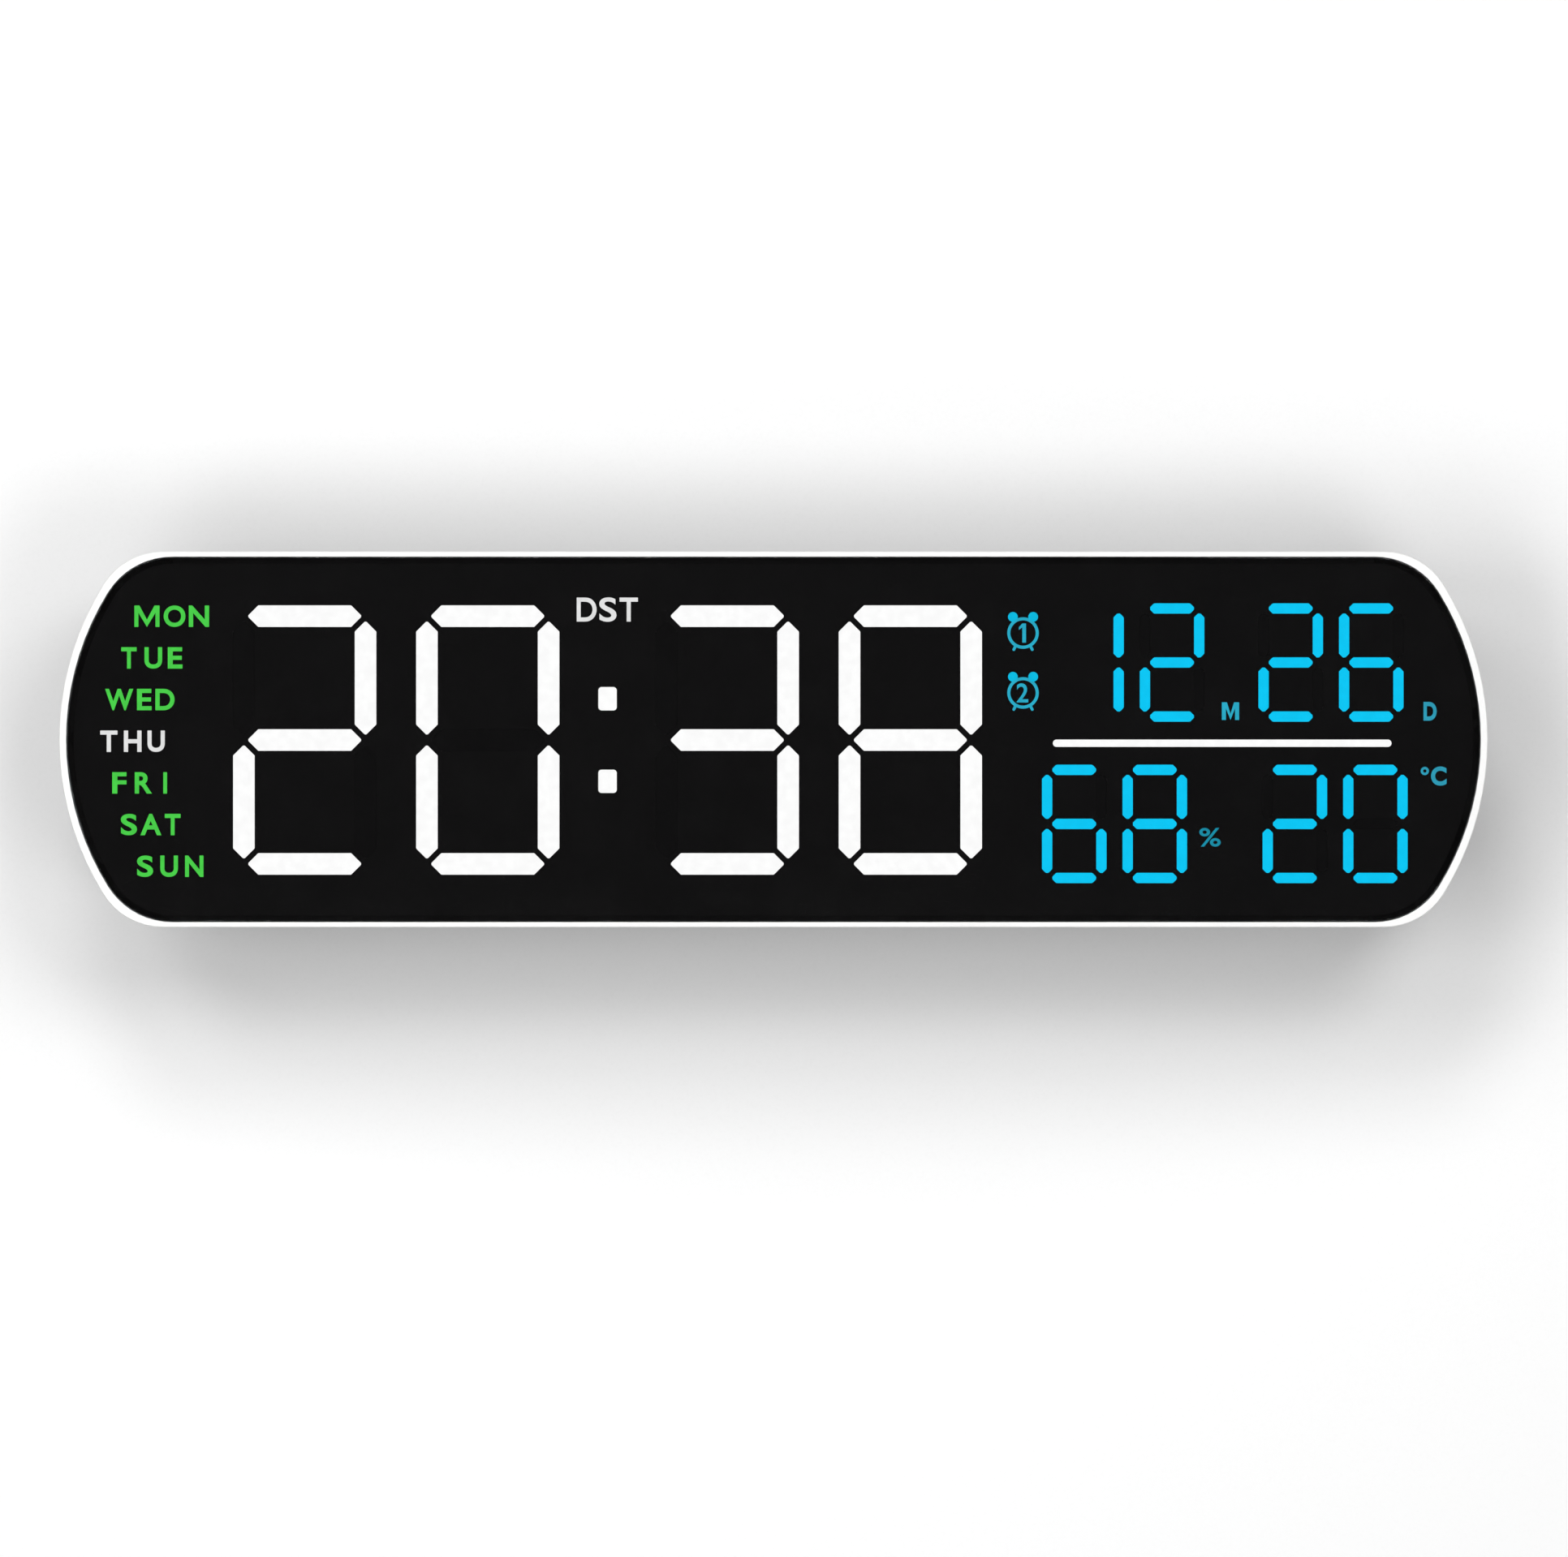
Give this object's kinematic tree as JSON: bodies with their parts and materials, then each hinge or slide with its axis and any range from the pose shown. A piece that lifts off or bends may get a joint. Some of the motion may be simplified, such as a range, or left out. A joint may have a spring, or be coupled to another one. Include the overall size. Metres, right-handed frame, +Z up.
{
  "type": "digital day clock",
  "caption": "Slim oblong day clock: dark window over large lit digits, weekday words and date, with buttons, battery door, keyholes and fold-out legs behind.",
  "frame": {"origin": "middle of the bottom surface that the clock stands on", "axes": "+X to the right seen from the front, the window faces -Y, +Z up"},
  "size_m": [0.38, 0.028, 0.1],
  "materials": {
    "white_casing": "fine satin moulded shell, slight grain at the back",
    "dark_window": "smoked acrylic, polished",
    "black_film": "printed black film",
    "black_gasket": "foam adhesive ring",
    "reflector_plastic": "black moulded reflector",
    "white_light": "milky diffuser, lit white",
    "blue_light": "milky diffuser, lit sky blue",
    "green_light": "milky diffuser, lit green",
    "circuit_board": "green solder mask",
    "chip_black": "moulded epoxy",
    "lead_metal": "tinned leads",
    "led_chip": "pale chip package",
    "steel_screw": "zinc plated steel",
    "can_metal": "drawn can",
    "cell_steel": "nickel plated steel",
    "contact_metal": "sprung contact strip",
    "grey_button": "fine matt grey",
    "foot_rubber": "soft rubber",
    "leg_plastic": "fine matt moulded plastic",
    "label_silver": "bare satin film label",
    "ribbon_grey": "flat cable"
  },
  "bodies": {
    "clock": {"front_case": "white_casing", "front_lens": "dark_window", "lens_gasket": "black_gasket", "mask_film": "black_film", "reflector_frame": "reflector_plastic", "hour_tens_digit": "white_light", "hour_units_digit": "white_light", "minute_tens_digit": "white_light", "minute_units_digit": "white_light", "colon_dots": "white_light", "divider_bar": "white_light", "month_digits": "blue_light", "day_digits": "blue_light", "humidity_digits": "blue_light", "temperature_digits": "blue_light", "weekday_pads": "green_light", "sign_pads": "blue_light", "led_board": "circuit_board", "display_leds": "led_chip", "remote_receiver": "chip_black", "daylight_sensor": "chip_black", "driver_chips": "chip_black", "driver_leads": "lead_metal", "display_screws": "steel_screw", "board_header": "chip_black", "header_pins": "lead_metal", "control_board": "circuit_board", "control_board_screws": "steel_screw", "controller_chip": "chip_black", "crystal_can": "can_metal", "capacitors": "can_metal", "buzzer": "chip_black", "switch_bodies": "chip_black", "coin_cell_holder": "chip_black", "battery_contact": "contact_metal", "coin_cell": "cell_steel", "power_socket_shell": "can_metal", "power_socket_base": "chip_black", "power_socket_tongue": "chip_black", "sensor_board": "circuit_board", "climate_sensor": "chip_black", "sensor_ribbon": "ribbon_grey", "blank_label": "label_silver", "back_cover": "white_casing", "case_screws": "steel_screw", "left_leg_pin": "steel_screw", "right_leg_pin": "steel_screw"},
    "mode_button": {"mode_button": "grey_button", "mode_plunger": "chip_black"},
    "up_button": {"up_button": "grey_button", "up_plunger": "chip_black"},
    "down_button": {"down_button": "grey_button", "down_plunger": "chip_black"},
    "dimmer_button": {"dimmer_button": "grey_button", "dimmer_plunger": "chip_black"},
    "left_leg": {"left_leg": "leg_plastic", "left_leg_foot": "foot_rubber"},
    "right_leg": {"right_leg": "leg_plastic", "right_leg_foot": "foot_rubber"},
    "battery_door": {"battery_door": "white_casing"}
  },
  "joints": [
    {"name": "mode_press", "type": "slide", "parent": "clock", "child": "mode_button", "axis": [0, -1, 0], "range_m": [0, 0.0006], "stiffness_N_per_m": 1500, "springref_m": -0.0005},
    {"name": "up_press", "type": "slide", "parent": "clock", "child": "up_button", "axis": [0, -1, 0], "range_m": [0, 0.0006], "stiffness_N_per_m": 1500, "springref_m": -0.0005},
    {"name": "down_press", "type": "slide", "parent": "clock", "child": "down_button", "axis": [0, -1, 0], "range_m": [0, 0.0006], "stiffness_N_per_m": 1500, "springref_m": -0.0005},
    {"name": "dimmer_press", "type": "slide", "parent": "clock", "child": "dimmer_button", "axis": [0, -1, 0], "range_m": [0, 0.0006], "stiffness_N_per_m": 1500, "springref_m": -0.0005},
    {"name": "left_leg_fold", "type": "hinge", "parent": "clock", "child": "left_leg", "pos_m": [-0.142, 0.011, 0.009], "axis": [-1, 0, 0], "range_deg": [0, 97]},
    {"name": "right_leg_fold", "type": "hinge", "parent": "clock", "child": "right_leg", "pos_m": [0.142, 0.011, 0.009], "axis": [-1, 0, 0], "range_deg": [0, 97]},
    {"name": "battery_door_hinge", "type": "hinge", "parent": "clock", "child": "battery_door", "pos_m": [-0.035, 0.0124, 0.0366], "axis": [-1, 0, 0], "range_deg": [0, 95]}
  ]
}
